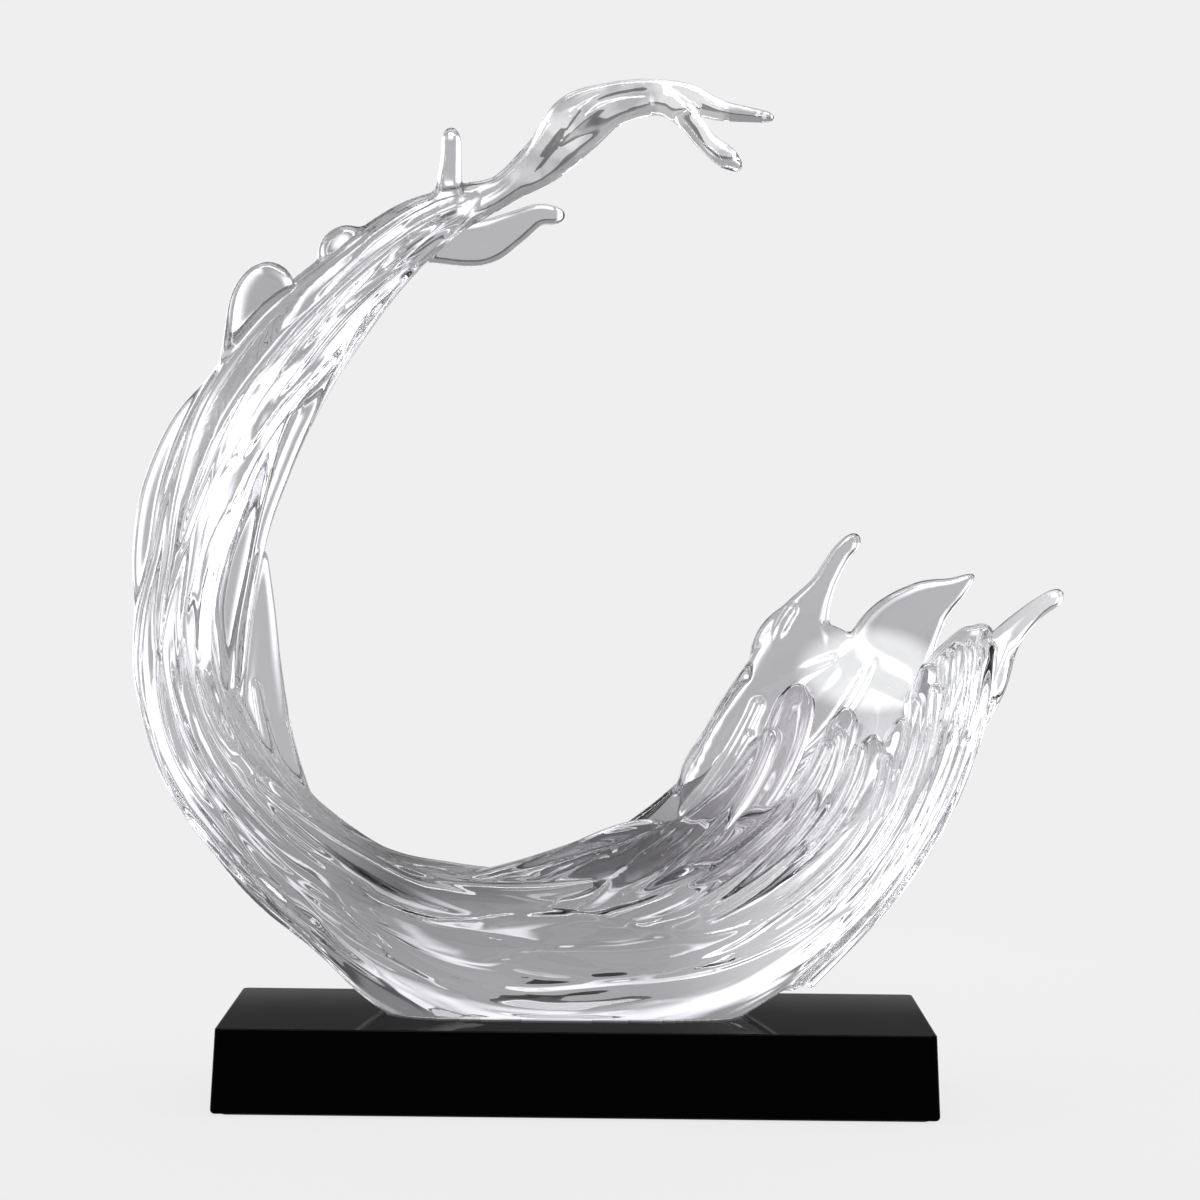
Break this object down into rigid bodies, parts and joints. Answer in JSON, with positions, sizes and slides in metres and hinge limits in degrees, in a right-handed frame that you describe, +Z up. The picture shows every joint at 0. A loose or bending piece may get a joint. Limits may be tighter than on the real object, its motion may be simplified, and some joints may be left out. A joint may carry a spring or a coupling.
{
  "type": "resin wave sculpture",
  "caption": "Clear resin sculpture of a breaking wave: a flowing crescent with splash fingers at both ends, bolted to a black lacquered rectangular plinth.",
  "frame": {"origin": "middle of the underside, on the felt pad that rests on the table", "axes": "+X to the right along the plinth, towards the splash fan; +Y to the back, away from the viewer; +Z up"},
  "size_m": [0.4609, 0.1198, 0.5024],
  "materials": {
    "clear_resin": "clear cast resin, polished",
    "black_lacquer": "black high-gloss lacquer over board",
    "black_felt": "black felt sheet, glued on",
    "insert_steel": "turned stainless steel",
    "fixing_steel": "bright zinc plate"
  },
  "bodies": {
    "root": {"wave_casting": "clear_resin", "plinth": "black_lacquer", "base_pad": "black_felt", "peg_insert_left": "insert_steel", "peg_insert_right": "insert_steel", "fixing_bolt_left": "fixing_steel", "fixing_bolt_right": "fixing_steel", "spring_washer_left": "fixing_steel", "spring_washer_right": "fixing_steel", "flat_washer_left": "fixing_steel", "flat_washer_right": "fixing_steel"}
  },
  "joints": []
}
